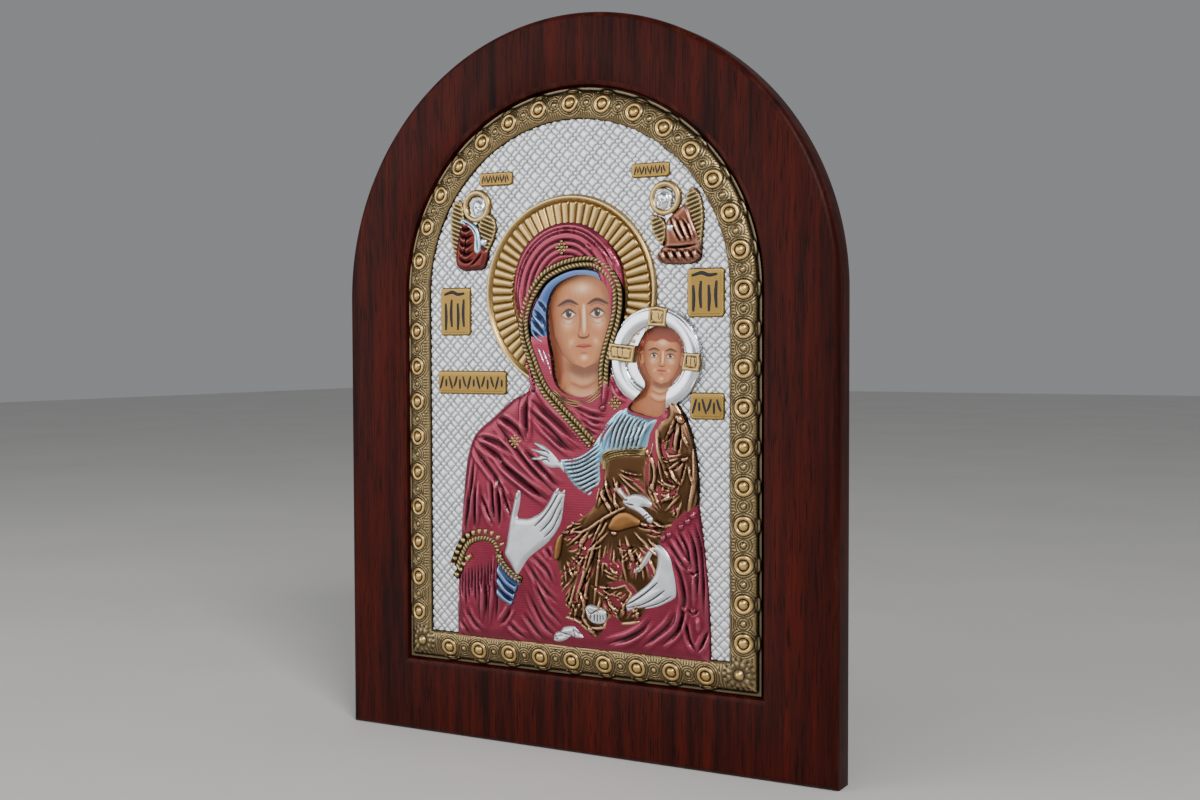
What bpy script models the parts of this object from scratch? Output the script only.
"""Arched icon panel: a veneered wooden board, a painted panel lying in its recess, and an
embossed metal cover over the painting, with openings where the two painted heads show."""
import math

import bmesh
import bpy
import numpy as np
from mathutils.geometry import delaunay_2d_cdt

MM = 0.001

# Driving sizes, in millimetres. Depths of the relief are heights above the board's front.
BOARD_HALF_WIDTH = 100.0
BOARD_SPRING = 164.5
BOARD_THICKNESS = 12.0
EDGE_ROUNDING = 2.5
RELIEF_HIGHEST = 3.4
CLEARANCE = 0.3

COVER_HALF_WIDTH = 72.4
COVER_BASE = 28.4
COVER_SPRING = 165.5
RIM_BACK = -2.5
RIM_WIDTH = 5.0
FIELD_BACK = -0.6
FLANGE_LEVEL = -1.3
FLANGE_WIDTH = 1.2
BORDER_WIDTH = 11.0
BORDER_CREST = 2.35

RECESS_GAP = 0.6
LIP_WIDTH = 2.0
LIP_DEPTH = 1.7
RECESS_DEPTH = -RIM_BACK + CLEARANCE
PANEL_FRONT = FIELD_BACK - CLEARANCE
PANEL_THICKNESS = -RIM_BACK + PANEL_FRONT

BOSS_PITCH = 13.25
BOSS_INSET = 5.4
BOSSES_UP_THE_SIDE = 9
BOSSES_ALONG_THE_FOOT = 4
BOSSES_OVER_THE_ARCH = 16
BOSS_RADIUS = 3.5
BOSS_RISE = 0.75
ROSETTE_INSET = 7.0
COVERED_ABOVE = 1.7
BELOW_ALL = -9.0
ON_THE_LINE = 0.03

HALO_CENTRE = (-1.1, 165.3)
HALO_RADIUS = 35.2
HALO_RIM = 2.2
HALO_FLUTES = 60
FLUTE_START = 25.4

SMALL_HALO_CENTRE = (33.6, 142.3)
SMALL_HALO_RADIUS = 17.9
SMALL_HALO_INNER = 11.3

BOARD_FRONT = RELIEF_HIGHEST - (BOARD_THICKNESS + RELIEF_HIGHEST) / 2


def clear_scene():
    for item in list(bpy.data.objects):
        bpy.data.objects.remove(item)


def material(name, colour, roughness, metallic):
    made = bpy.data.materials.new(name)
    made.use_nodes = True
    shader = made.node_tree.nodes["Principled BSDF"]
    shader.inputs["Base Color"].default_value = (*colour, 1.0)
    shader.inputs["Roughness"].default_value = roughness
    shader.inputs["Metallic"].default_value = metallic
    return made


def new_object(name, mesh, finish):
    made = bpy.data.objects.new(name, mesh)
    bpy.context.collection.objects.link(made)
    mesh.materials.append(finish)
    return made


def place(x, z, height):
    """World position, in metres, of a point of the front at a height above the board."""
    return (x * MM, (BOARD_FRONT - height) * MM, z * MM)


# Flat shapes, as arrays of x and z in millimetres

def arch(half_width, base, spring, side_parts=1, foot_parts=1, arc_parts=48):
    """Outline of an arched panel, anticlockwise from its lower left corner."""
    foot = [(-half_width + 2 * half_width * i / foot_parts, base) for i in range(foot_parts)]
    right = [(half_width, base + (spring - base) * i / side_parts) for i in range(side_parts)]
    arc = []
    for i in range(arc_parts + 1):
        angle = math.pi * i / arc_parts
        arc.append((half_width * math.cos(angle), spring + half_width * math.sin(angle)))
    left = [(-half_width, spring - (spring - base) * i / side_parts) for i in range(1, side_parts)]
    return np.array(foot + right + arc + left)


def circle(centre, radius, parts, turn=0.0):
    angles = turn + np.arange(parts) * 2 * math.pi / parts
    return np.stack([centre[0] + radius * np.cos(angles), centre[1] + radius * np.sin(angles)], -1)


def smooth(points, parts=2, closed=True):
    """Catmull-Rom curve through a few points."""
    points = np.array(points, float)
    if closed:
        ring = np.vstack([points[-1:], points, points[:2]])
    else:
        ring = np.vstack([2 * points[:1] - points[1:2], points, 2 * points[-1:] - points[-2:-1]])
    curve = []
    for a, b, c, d in zip(ring[:-3], ring[1:-2], ring[2:-1], ring[3:]):
        for t in np.arange(parts) / parts:
            bend = (2 * a - 5 * b + 4 * c - d) * t ** 2 + (3 * b - a - 3 * c + d) * t ** 3
            curve.append(0.5 * (2 * b + (c - a) * t + bend))
    if not closed:
        curve.append(points[-1])
    return np.array(curve)


def plate(x_low, x_high, z_low, z_high, corner=1.2):
    """Rectangle with cut corners."""
    c = corner * 0.3
    rows = []
    for x, z, sx, sz in ((x_low, z_low, 1, 1), (x_high, z_low, -1, 1),
                         (x_high, z_high, -1, -1), (x_low, z_high, 1, -1)):
        side = [(x, z + sz * corner), (x + sx * c, z + sz * c), (x + sx * corner, z)]
        rows += side if sx * sz > 0 else side[::-1]
    return np.array(rows)


def inward(outline, distance):
    """The outline moved to its inner side."""
    before = np.roll(outline, 1, axis=0)
    after = np.roll(outline, -1, axis=0)
    along = after - before
    along /= np.linalg.norm(along, axis=1)[:, None]
    side = np.stack([-along[:, 1], along[:, 0]], -1)
    area = np.sum(outline[:, 0] * after[:, 1] - after[:, 0] * outline[:, 1])
    return outline + side * distance * (1 if area > 0 else -1)


def is_inside(outline, points):
    found = np.zeros(len(points), bool)
    for (x1, z1), (x2, z2) in zip(outline, np.roll(outline, -1, axis=0)):
        if z1 == z2:
            continue
        crosses = (z1 > points[:, 1]) != (z2 > points[:, 1])
        meet = x1 + (points[:, 1] - z1) * (x2 - x1) / (z2 - z1)
        found ^= crosses & (points[:, 0] < meet)
    return found


def distance_to(line, points, closed=True):
    nearest = np.full(len(points), 1e9)
    ends = np.roll(line, -1, axis=0) if closed else line[1:]
    for a, b in zip(line, ends):
        along = b - a
        share = np.clip((points - a) @ along / (along @ along + 1e-12), 0, 1)
        gap = points - a - share[:, None] * along
        nearest = np.minimum(nearest, np.hypot(gap[:, 0], gap[:, 1]))
    return nearest


# Forms of the relief. Each gives the lines that its mesh follows and its height at any point.

def rise(share):
    """Rounded shoulder, from 0 at the edge to 1."""
    return np.sqrt(1 - (1 - np.clip(share, 0, 1)) ** 2)


def sideways(curve, distance):
    """The open curve moved to its left."""
    along = np.gradient(curve, axis=0)
    along /= np.linalg.norm(along, axis=1)[:, None]
    return curve + np.stack([-along[:, 1], along[:, 0]], -1) * distance


def pad(outline, top, shoulder, folds=(), foot=-0.6):
    """A raised area with a rounded edge, and folds as (points, half width, height)."""
    inner = inward(outline, shoulder * 0.45)
    lines = [(outline, True), (inner[is_inside(outline, inner)], True)]
    curves = []
    for points, half_width, height in folds:
        curve = np.array(points, float)
        curves.append((curve, half_width, height))
        for shift in (-half_width, 0, half_width):
            lines.append((sideways(curve, shift), False))

    def height(points):
        edge = distance_to(outline, points)
        level = foot + (top - foot) * rise(edge / shoulder)
        for curve, half_width, depth in curves:
            near = np.clip(1 - distance_to(curve, points, closed=False) / half_width, 0, 1)
            level += depth * near * np.clip(edge / shoulder, 0, 1)
        return np.where(is_inside(outline, points) & (edge > ON_THE_LINE), level, BELOW_ALL)

    return lines, height


def limb(a, radius_a, b, radius_b, top, foot):
    """A finger or wrist: a rounded bar that tapers between two points."""
    a = np.array(a, float)
    b = np.array(b, float)
    heading = math.atan2(b[1] - a[1], b[0] - a[0])
    ends = [(a, radius_a, heading + math.pi / 2), (b, radius_b, heading - math.pi / 2)]
    outline = []
    for centre, radius, start in ends:
        for i in range(4):
            angle = start + math.pi * i / 3
            outline.append(centre + radius * np.array([math.cos(angle), math.sin(angle)]))
    outline = np.array(outline)

    def height(points):
        along = b - a
        share = np.clip((points - a) @ along / (along @ along), 0, 1)
        gap = points - a - share[:, None] * along
        reach = np.hypot(gap[:, 0], gap[:, 1]) / (radius_a + (radius_b - radius_a) * share)
        level = foot + (top - foot) * np.sqrt(np.clip(1 - reach ** 2, 0, 1))
        return np.where(reach < 1 - ON_THE_LINE, level, BELOW_ALL)

    return [(outline, True), (np.array([a, b]), False)], height


def from_edge(points):
    """Distance from the cover's outer edge, inwards."""
    x = np.abs(points[:, 0])
    z = points[:, 1]
    straight = np.minimum(COVER_HALF_WIDTH - x, z - COVER_BASE)
    round_part = COVER_HALF_WIDTH - np.hypot(x, z - COVER_SPRING)
    return np.where(z > COVER_SPRING, round_part, straight)


def border_level(points):
    """Ground, half-round border moulding and outer flange."""
    share = np.clip((from_edge(points) - FLANGE_WIDTH) / (BORDER_WIDTH - FLANGE_WIDTH), 0, 1)
    return FLANGE_LEVEL * (1 - share) + BORDER_CREST * np.sqrt(1 - (2 * share - 1) ** 2)


def cover_loop(inset, coarse=False):
    side, foot, arc = (6, 6, 28) if coarse else (14, 14, 44)
    return arch(COVER_HALF_WIDTH - inset, COVER_BASE + inset, COVER_SPRING, side, foot, arc)


def boss_places():
    """Centres of the large bosses round the border."""
    half = COVER_HALF_WIDTH - BOSS_INSET
    foot_z = COVER_BASE + BOSS_INSET
    places = []
    for i in range(-BOSSES_ALONG_THE_FOOT, BOSSES_ALONG_THE_FOOT + 1):
        places.append((BOSS_PITCH * i, foot_z))
    for i in range(1, BOSSES_UP_THE_SIDE + 1):
        places.append((half, COVER_SPRING - BOSS_PITCH * i))
        places.append((-half, COVER_SPRING - BOSS_PITCH * i))
    for i in range(BOSSES_OVER_THE_ARCH + 1):
        angle = math.pi * i / BOSSES_OVER_THE_ARCH
        places.append((half * math.cos(angle), COVER_SPRING + half * math.sin(angle)))
    for side in (-1, 1):
        places.append((side * (COVER_HALF_WIDTH - ROSETTE_INSET), COVER_BASE + ROSETTE_INSET))
    return places


def boss(centre):
    """A ring with a round bead inside it, on the border moulding."""
    lines = [(circle(centre, BOSS_RADIUS, 7), True),
             (circle(centre, BOSS_RADIUS * 0.8, 7, 0.45), True),
             (circle(centre, BOSS_RADIUS * 0.5, 5), True),
             (np.array([centre]), False)]

    def height(points):
        reach = np.hypot(points[:, 0] - centre[0], points[:, 1] - centre[1]) / BOSS_RADIUS
        ring = np.interp(reach, [0, 0.25, 0.5, 0.8, 1], [BOSS_RISE, 0.5, -0.05, 0.4, 0])
        return np.where(reach < 1, border_level(points) + ring, BELOW_ALL)

    return lines, height


def halo():
    """Raised rim and radial flutes."""
    inner_rim = HALO_RADIUS - HALO_RIM
    lines = [(circle(HALO_CENTRE, HALO_RADIUS, 48), True),
             (circle(HALO_CENTRE, HALO_RADIUS - HALO_RIM * 0.45, 48), True)]
    for i in range(2 * HALO_FLUTES):
        angle = math.pi * i / HALO_FLUTES
        spoke = np.vstack([circle(HALO_CENTRE, r, 1, angle) for r in (FLUTE_START, inner_rim)])
        lines.append((spoke, False))

    def height(points):
        dx = points[:, 0] - HALO_CENTRE[0]
        dz = points[:, 1] - HALO_CENTRE[1]
        reach = np.hypot(dx, dz)
        wave = np.abs(np.cos(np.arctan2(dz, dx) * HALO_FLUTES / 2))
        level = 0.35 + 0.5 * wave
        rim = np.sqrt(np.clip(1 - ((reach - inner_rim - HALO_RIM / 2) * 2 / HALO_RIM) ** 2, 0, 1))
        level = np.where(reach > inner_rim, 1.2 * rim, level)
        return np.where(reach < HALO_RADIUS, level, BELOW_ALL)

    return lines, height


def ring(centre, inner, outer, top, parts, foot=0.0):
    """A rounded ring, such as a small halo."""
    middle = (inner + outer) / 2
    lines = [(circle(centre, r, parts), True) for r in (inner, middle, outer)]

    def height(points):
        reach = np.hypot(points[:, 0] - centre[0], points[:, 1] - centre[1])
        across = np.clip(1 - ((reach - middle) / (outer - middle)) ** 2, 0, 1)
        return np.where(across > 0, foot + (top - foot) * np.sqrt(across), BELOW_ALL)

    return lines, height


# Outlines of the figures, in millimetres from the middle of the foot of the board

ROBE = smooth([(-50, 39), (-49.8, 56), (-48.6, 72), (-47.8, 84), (-46.6, 96), (-44.8, 107),
               (-41.5, 114.5), (-34, 120.5), (-25, 127.3), (-18, 132), (-19.5, 146), (-15, 152),
               (14, 150), (17, 136), (28, 129), (40, 124), (48, 104), (50.5, 90), (52.8, 72),
               (54.3, 55), (54.6, 39), (53, 38), (0, 38), (-48.5, 38)])
HOOD = smooth([(-15, 129), (-18, 137), (-20, 148), (-23, 158), (-24.4, 168), (-22.5, 178),
               (-17.5, 185), (-9.5, 189.7), (-0.5, 191), (8, 189), (15.5, 183), (20.3, 175),
               (21.6, 166), (20, 154), (18, 143), (17, 133), (10, 124), (0, 124)])
FACE_OPENING = smooth([(-6.5, 134), (-8, 143), (-9.7, 152), (-9.6, 161), (-6, 168), (2, 171.5),
                       (10, 171), (15.5, 166.5), (16.5, 158), (15, 149), (13, 141), (13.2, 132),
                       (6, 128.3), (-2, 129.5)])
CHILD_OPENING = smooth([(23.5, 125.5), (30, 123), (37.5, 123), (39, 131.5), (43.5, 137.5),
                        (45.3, 144), (43, 150.5), (37, 153.6), (30.5, 152), (26.6, 146),
                        (26.6, 139), (29.5, 132.5)])
TUNIC = smooth([(-4.5, 106.5), (1, 106.8), (6, 109), (10, 113), (14, 118.5), (18.5, 123.5),
                (25, 128), (32, 127), (37, 122), (33.5, 116), (31, 110), (22, 108), (13.5, 106),
                (13, 99), (10.2, 95), (8, 92.8), (4, 94.5), (0, 97.5), (-2.8, 101.5)])
HIMATION = smooth([(37.5, 127.5), (42, 127), (46, 120.5), (48.6, 112), (50, 102), (49.6, 92),
                   (44, 86.5), (38, 80), (36.5, 66), (34.5, 57), (29.5, 50.5), (22.5, 48.3),
                   (15.5, 49), (12.5, 42), (7, 42.5), (2, 47), (-3, 52.5), (-5.5, 62), (-7, 72),
                   (-5.5, 79), (1, 85.5), (8.5, 91.5), (12, 99), (12.8, 105), (14, 109.5),
                   (22, 111), (30, 111.5), (33, 117.5), (36, 122.5)])
SLEEVE_BAND = smooth([(-48.8, 60), (-48, 67), (-45.5, 74), (-40, 78.5), (-32, 79), (-29.5, 74),
                      (-36, 72.5), (-42, 69), (-46, 62.5)])
CUFF = smooth([(-31, 65), (-30, 71), (-27.5, 71), (-20, 62.5), (-24.5, 52.5), (-31, 55)])
RIGHT_PALM = smooth([(-27.5, 71), (-26.5, 78), (-25, 84), (-21, 84.7), (-16, 84.3), (-11, 85),
                     (-8.5, 80), (-10, 76), (-14.5, 71), (-19, 67), (-22, 64)])
LEFT_PALM = smooth([(33, 77), (35.7, 78.3), (38.7, 76), (41.2, 70), (42.4, 64), (42, 60),
                    (38, 57.8), (33.5, 58.5), (30, 61.5), (32.5, 65), (34.5, 69.5), (32, 73.5)])
LEFT_FOOT = smooth([(-6.5, 41.6), (-4.5, 44.7), (0.5, 46.8), (5.5, 45), (5.5, 42.5), (0, 41)])
RIGHT_FOOT = smooth([(6.3, 53.5), (9.5, 55.2), (14.5, 53.8), (15.2, 50), (12, 48.8), (7.8, 49.6)])

BAND_PATH = smooth([(8.5, 112.5), (2, 118.5), (-5, 124.8), (-11, 131), (-15, 138), (-17.5, 146),
                    (-18.6, 154), (-17.6, 162), (-14, 169.5), (-7, 174.3), (2, 176), (10, 175.3),
                    (16, 171.3), (19, 164.5), (18.8, 157), (16.2, 149), (14.8, 141),
                    (15, 134), (11.5, 128.6), (5, 126.3), (-2.5, 127)], closed=False)
BAND_HALF_WIDTH = 2.1
BAND_TOP = 2.75

NAME_PLATES = (plate(-56.7, -43.2, 150.5, 168.3), plate(-58, -27.6, 128.8, 137.5),
               plate(45.5, 59.6, 156.3, 173.0), plate(46.6, 59.8, 121.6, 130.6),
               plate(-39.2, -24.6, 205.0, 210.0, 1.6), plate(24.0, 39.0, 204.6, 209.7, 1.6))


def fan(start, first_end, last_end, count, sag):
    """Fold lines from one point, spread evenly between two end points and sagging."""
    lines = []
    for i in range(count):
        share = i / (count - 1)
        end = [a + (b - a) * share for a, b in zip(first_end, last_end)]
        middle = ((start[0] + end[0]) / 2 - sag * share, (start[1] + end[1]) / 2 - sag * (1 - share))
        lines.append(smooth((start, middle, end), closed=False))
    return lines


def grooves(lines, half_width=1.1, depth=0.55):
    return [(line, half_width, -depth) for line in lines]


def ridges(lines, half_width=1.6, lift=0.45):
    return [(line, half_width, lift) for line in lines]


def robe_folds():
    folds = grooves(fan((-41.5, 112), (-6, 95.5), (-30, 80), 4, 2.0))
    folds += ridges(fan((-32.5, 120.5), (-2, 92), (2, 100), 2, 1.5))
    folds += grooves([[(-41, 106), (-44.5, 92), (-46.5, 79)], [(-38.5, 98), (-42, 88), (-43, 80)]])
    folds += grooves([[(-46 + 4 * i, 66 + i), (-46.5 + 4 * i, 55), (-45 + 4 * i, 44)] for i in range(4)])
    folds += grooves([[(-19 + 5 * i, 70 + 3 * i), (-15 + 5 * i, 58), (-4, 44 + 4 * i)] for i in range(3)])
    folds += grooves([[(46, 84), (48.5, 70), (49.5, 57)], [(43, 62), (42, 52), (34, 44)]])
    folds += ridges([[(50, 86), (51.8, 68), (52.4, 50)]])
    return folds


def hood_folds():
    """Grooves that follow the hood's edge, further apart over the crown."""
    folds = []
    for inset in (3.6, 7.4):
        arc = []
        for i in range(7):
            angle = math.radians(205 - 30 * i)
            arc.append((-1.3 + (22.5 - inset) * math.cos(angle), 167 + (23.6 - inset) * math.sin(angle)))
        folds.append((arc, 0.9, -0.5))
    folds.append((((-17.5, 126), (-18.2, 118), (-18.6, 110)), 1.0, -0.5))
    return folds


def tunic_folds():
    return grooves([[(23.5 + 3 * i, 121), (19 + 4 * i, 116.5), (17.5 + 4 * i, 111.5)] for i in range(3)],
                   0.9, 0.5) + \
        grooves([[(-2, 104 - i), (4, 103.4 - 2.2 * i), (11, 104.5 - 3.3 * i)] for i in range(3)], 0.9, 0.5)


def himation_folds():
    folds = ridges([[(44, 124), (38 + 2.5 * i, 112), (31 + 5 * i, 99)] for i in range(3)])
    folds += grooves([[(33 - 3 * i, 84), (20 - 3 * i, 72), (22 - 6 * i, 55 - i)] for i in range(4)])
    folds += ridges([[(2, 82), (11, 76 - 2 * i), (30 - 6 * i, 66 - 6 * i)] for i in range(3)])
    return folds


def hands():
    """Palms, fingers, thumbs, wrists and feet, each finger a tapered bar."""
    forms = [pad(RIGHT_PALM, 3.2, 4.0, foot=1.8), pad(LEFT_PALM, 3.2, 4.0, foot=1.8)]
    bars = [((-23.6, 84), 1.9, (-22, 92.6), 1.6)]
    for i, (tip, last) in enumerate((((-4.6, 94.6), 1.4), ((-2.3, 93.8), 1.5),
                                     ((-2.9, 89.8), 1.4), ((-4.4, 85.6), 1.3))):
        bars.append(((-13 + 0.9 * i, 83.6 - 1.9 * i), 1.9, tip, last))
    bars.append(((34, 76), 1.8, (27.4, 68.8), 1.3))
    for i, tip in enumerate(((23, 57.2), (23.6, 54.9), (28.4, 55.2))):
        bars.append(((34.5 + 1.8 * i, 66 - 2.8 * i), 2.2, tip, 1.2))
    bars += [((-3, 103), 2.0, (-8.5, 105.6), 2.6), ((-9, 107), 1.4, (-15, 110.8), 0.9),
             ((-9, 105), 1.4, (-15, 106), 1.0)]
    bars += [((33, 92.4), 2.0, (26, 92.6), 2.6), ((24, 93), 1.7, (18.7, 96), 1.3),
             ((27, 91), 1.7, (32, 86.5), 1.2)]
    for a, radius_a, b, radius_b in bars:
        forms.append(limb(a, radius_a, b, radius_b, 3.4, 1.6))
    forms += [pad(LEFT_FOOT, 3.2, 2.0, foot=1.5), pad(RIGHT_FOOT, 3.2, 2.0, foot=1.5)]
    return forms


def winged_figure(halo_centre, left_wing, right_wing, robe, folds):
    forms = [pad(smooth(left_wing), 0.9, 1.5), pad(smooth(right_wing), 0.9, 1.5)]
    forms.append(pad(smooth(robe), 1.7, 2.5, folds))
    forms.append(ring(halo_centre, 3.5, 6.1, 1.3, 16))
    forms.append(limb((halo_centre[0], halo_centre[1] - 1.2), 3.0,
                      (halo_centre[0] + 0.3, halo_centre[1] - 1.5), 2.8, 2.1, 0.2))
    return forms


def winged_figures():
    forms = winged_figure(
        (-40.2, 197.9),
        [(-49.5, 200.6), (-45, 199), (-45.5, 186), (-49, 176), (-51.4, 184), (-52, 194)],
        [(-37.5, 194.5), (-33.2, 194.8), (-31.5, 190), (-33.5, 183), (-38, 181), (-40, 188)],
        [(-47, 191.5), (-43, 194.5), (-38.8, 192), (-38, 184), (-34.6, 181), (-36, 176),
         (-41, 174.5), (-47.3, 174.8), (-49.8, 178), (-49, 186)],
        ridges([((-46, 190), (-42, 189), (-38.8, 181.5))], 1.3, 0.4))
    forms += winged_figure(
        (37.3, 197.2),
        [(32, 191.8), (36, 191.5), (38, 187), (36.5, 181.5), (33.3, 184), (31.4, 188)],
        [(45.2, 198), (47.6, 200.3), (50.6, 198.2), (52.2, 192), (51.9, 184), (50.8, 178),
         (46, 184)],
        [(38.5, 190.5), (43.5, 196), (47.5, 192), (50, 186), (51.2, 179), (50, 175.3), (44, 174.5),
         (37.5, 174.7), (34, 177), (36, 180.5), (36, 186)],
        grooves([((37, 180), (43, 180.8), (50, 180))], 0.9, 0.5))
    return forms


def cross_arms():
    """The three bars of the cross on the small halo."""
    plates = (plate(30.4, 37.9, 153.6, 160.0, 0.8), plate(15.8, 25.3, 141.0, 148.0, 0.8),
              plate(45.6, 51.2, 137.0, 144.4, 0.8))
    return [pad(outline, 2.45, 0.8, foot=1.5) for outline in plates]


def relief_forms():
    forms = [halo()]
    forms += [pad(outline, 0.8, 0.8) for outline in NAME_PLATES]
    forms += winged_figures()
    forms.append(pad(ROBE, 2.2, 5.0, robe_folds()))
    forms.append(pad(HOOD, 2.6, 6.0, hood_folds()))
    forms.append(ring(SMALL_HALO_CENTRE, SMALL_HALO_INNER, SMALL_HALO_RADIUS, 2.3, 28))
    forms += cross_arms()
    forms.append(pad(HIMATION, 2.7, 4.0, himation_folds()))
    forms.append(pad(TUNIC, 2.9, 3.5, tunic_folds()))
    forms.append(pad(SLEEVE_BAND, 2.6, 2.0, foot=1.0))
    forms.append(pad(CUFF, 2.7, 2.0, foot=1.0))
    forms += hands()
    band = [(sideways(BAND_PATH, side * BAND_HALF_WIDTH), False) for side in (-1, 1)]
    return forms, band


def relief_level(points, forms):
    """Height of the front anywhere on the cover: the highest of all its forms."""
    level = border_level(points)
    for lines, height in forms:
        level = np.maximum(level, height(points))
    for opening in (FACE_OPENING, CHILD_OPENING):
        near = distance_to(opening, points)
        level = np.minimum(level, 1.0 + 0.6 * near + 2 * (near > BAND_HALF_WIDTH + 1))
    band = distance_to(BAND_PATH, points, closed=False) / BAND_HALF_WIDTH
    bead = 1.8 + (BAND_TOP - 1.8) * np.sqrt(np.clip(1 - band ** 2, 0, 1))
    level = np.where(band < 1, np.maximum(level, bead), level)
    return np.minimum(level, RELIEF_HIGHEST)


def triangulate(lines, keep):
    """Delaunay mesh that follows the lines, of the triangles whose middle is kept."""
    points = []
    edges = []
    for line, closed in lines:
        start = len(points)
        points += [tuple(p) for p in line]
        edges += [(start + i, start + i + 1) for i in range(len(line) - 1)]
        if closed and len(line) > 2:
            edges.append((len(points) - 1, start))
    made, _, faces, _, _, _ = delaunay_2d_cdt(points, edges, [], 0, 0.02)
    flat = np.array([tuple(p) for p in made])
    faces = np.array([tuple(f) for f in faces])
    return flat, faces[keep(flat[faces].mean(axis=1))]


def showing(line, closed, seen):
    """The stretches of a line that no higher form covers."""
    if seen.all():
        return [(line, closed)]
    if closed:
        turn = int(np.argmin(seen))
        line = np.roll(line, -turn, axis=0)
        seen = np.roll(seen, -turn)
    runs = []
    run = []
    for point, is_seen in zip(line, seen):
        if is_seen:
            run.append(point)
        elif run:
            runs.append((np.array(run), False))
            run = []
    if run:
        runs.append((np.array(run), False))
    return runs


def cover_mesh():
    """Embossed front, walls down to the back, and a back that is stepped over the panel."""
    forms, band = relief_forms()
    outer = cover_loop(0, coarse=True)
    lines = [(outer, True), (FACE_OPENING, True), (CHILD_OPENING, True)]
    for inset in (FLANGE_WIDTH, 2.4, 4.2, 8.6, 10.5, BORDER_WIDTH):
        lines.append((cover_loop(inset), True))
    for centre in boss_places():
        forms.append(boss(centre))
    for i, (shape, _) in enumerate(forms):
        for line, closed in shape:
            over_it = [height(line) for _, height in forms[i + 1:]] + [np.full(len(line), BELOW_ALL)]
            lines += showing(line, closed, np.max(over_it, axis=0) < COVERED_ABOVE)
    lines += band

    def on_the_cover(middles):
        open_there = is_inside(FACE_OPENING, middles) | is_inside(CHILD_OPENING, middles)
        return is_inside(outer, middles) & ~open_there

    flat, faces = triangulate(lines, on_the_cover)
    levels = relief_level(flat, forms)
    form = bmesh.new()
    corners = [form.verts.new(place(x, z, h)) for (x, z), h in zip(flat, levels)]
    for a, b, c in faces:
        form.faces.new((corners[a], corners[b], corners[c]))
    loose = [v for v in form.verts if not v.link_faces]
    bmesh.ops.delete(form, geom=loose, context="VERTS")
    rim = [e for e in form.edges if e.is_boundary]
    walls = bmesh.ops.extrude_edge_only(form, edges=rim)["geom"]
    ends = [item for item in walls if isinstance(item, bmesh.types.BMVert)]
    for corner in ends:
        edge = from_edge(np.array([[corner.co.x, corner.co.z]]) / MM)[0]
        back = RIM_BACK if edge < RIM_WIDTH / 2 else FIELD_BACK
        corner.co.y = (BOARD_FRONT - back) * MM
    outer_ring = [e for e in form.edges if e.is_boundary and is_rim(e)]
    hole_rings = [e for e in form.edges if e.is_boundary and not is_rim(e)]
    step = cover_loop(RIM_WIDTH, coarse=True)
    low = ring_of_edges(form, step, RIM_BACK)
    high = ring_of_edges(form, step, FIELD_BACK)
    bmesh.ops.bridge_loops(form, edges=low + high)
    bmesh.ops.triangle_fill(form, use_beauty=True, use_dissolve=False, edges=outer_ring + low)
    bmesh.ops.triangle_fill(form, use_beauty=True, use_dissolve=False, edges=hole_rings + high)
    bmesh.ops.triangulate(form, faces=form.faces)
    bmesh.ops.recalc_face_normals(form, faces=form.faces)
    mesh = bpy.data.meshes.new("embossed_cover")
    form.to_mesh(mesh)
    form.free()
    return mesh


def is_rim(edge):
    return from_edge(np.array([[edge.verts[0].co.x, edge.verts[0].co.z]]) / MM)[0] < 0.5


def ring_of_edges(form, outline, height):
    corners = [form.verts.new(place(x, z, height)) for x, z in outline]
    return [form.edges.new((a, b)) for a, b in zip(corners, corners[1:] + corners[:1])]


def prism(name, outline, front, thickness):
    """A flat panel with the given outline, from its front height back."""
    form = bmesh.new()
    face = form.faces.new([form.verts.new(place(x, z, front)) for x, z in outline])
    pulled = bmesh.ops.extrude_face_region(form, geom=[face])["geom"]
    moved = [item for item in pulled if isinstance(item, bmesh.types.BMVert)]
    bmesh.ops.translate(form, verts=moved, vec=(0, thickness * MM, 0))
    bmesh.ops.recalc_face_normals(form, faces=form.faces)
    mesh = bpy.data.meshes.new(name)
    form.to_mesh(mesh)
    form.free()
    return mesh


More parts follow.
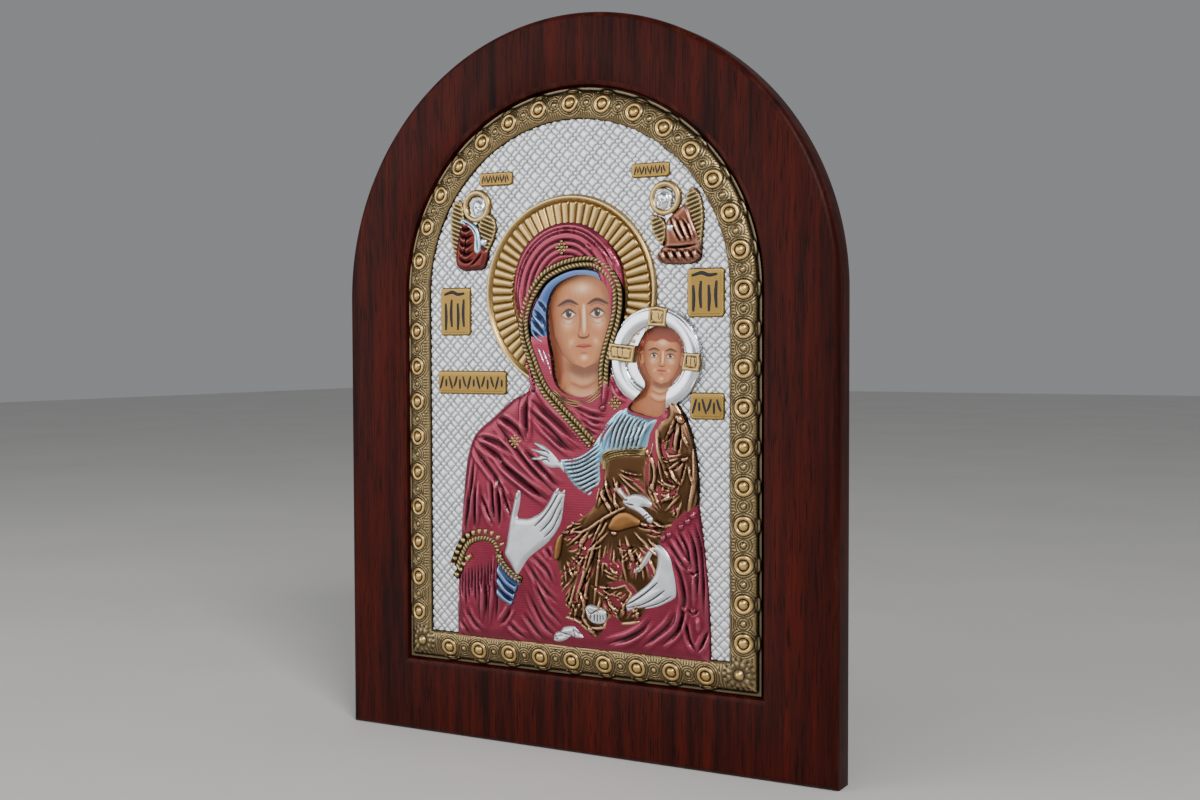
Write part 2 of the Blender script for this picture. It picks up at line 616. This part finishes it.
def recess_cutter():
    """The recess: straight walls, flaring to a chamfered lip and on past the board's front."""
    half = COVER_HALF_WIDTH + RECESS_GAP
    base = COVER_BASE - RECESS_GAP
    levels = ((-RECESS_DEPTH, 0.0), (-LIP_DEPTH, 0.0), (1.0, LIP_WIDTH * (1 + 1 / LIP_DEPTH)))
    form = bmesh.new()
    rings = []
    for height, flare in levels:
        outline = arch(half + flare, base - flare, COVER_SPRING, 1, 1, 44)
        rings.append([form.verts.new(place(x, z, height)) for x, z in outline])
    for lower, upper in zip(rings, rings[1:]):
        for i, corner in enumerate(lower):
            j = (i + 1) % len(lower)
            form.faces.new((corner, lower[j], upper[j], upper[i]))
    form.faces.new(rings[0])
    form.faces.new(rings[-1][::-1])
    bmesh.ops.recalc_face_normals(form, faces=form.faces)
    mesh = bpy.data.meshes.new("recess_cutter")
    form.to_mesh(mesh)
    form.free()
    return mesh


def wooden_board():
    outline = arch(BOARD_HALF_WIDTH, 0.0, BOARD_SPRING, 1, 1, 56)
    finish = material("mahogany_veneer", (0.055, 0.008, 0.004), 0.35, 0.0)
    board = new_object("wooden_board", prism("wooden_board", outline, 0.0, BOARD_THICKNESS), finish)
    rounding = board.modifiers.new("rounded edges", "BEVEL")
    rounding.width = EDGE_ROUNDING * MM
    rounding.segments = 2
    rounding.limit_method = "ANGLE"
    rounding.angle_limit = math.radians(60)
    rounding.affect = "EDGES"
    cutter = new_object("recess_cutter", recess_cutter(), finish)
    cutter.hide_render = True
    cutter.display_type = "WIRE"
    recess = board.modifiers.new("recess", "BOOLEAN")
    recess.operation = "DIFFERENCE"
    recess.solver = "EXACT"
    recess.object = cutter
    return board


def painted_panel():
    inset = RIM_WIDTH + CLEARANCE
    outline = arch(COVER_HALF_WIDTH - inset, COVER_BASE + inset, COVER_SPRING, 1, 1, 28)
    mesh = prism("painted_panel", outline, PANEL_FRONT, PANEL_THICKNESS)
    return new_object("painted_panel", mesh, material("flesh_paint", (0.55, 0.25, 0.12), 0.45, 0.0))


def embossed_cover():
    finish = material("silvered_sheet", (0.60, 0.60, 0.62), 0.3, 1.0)
    return new_object("embossed_cover", cover_mesh(), finish)


clear_scene()
wooden_board()
painted_panel()
embossed_cover()
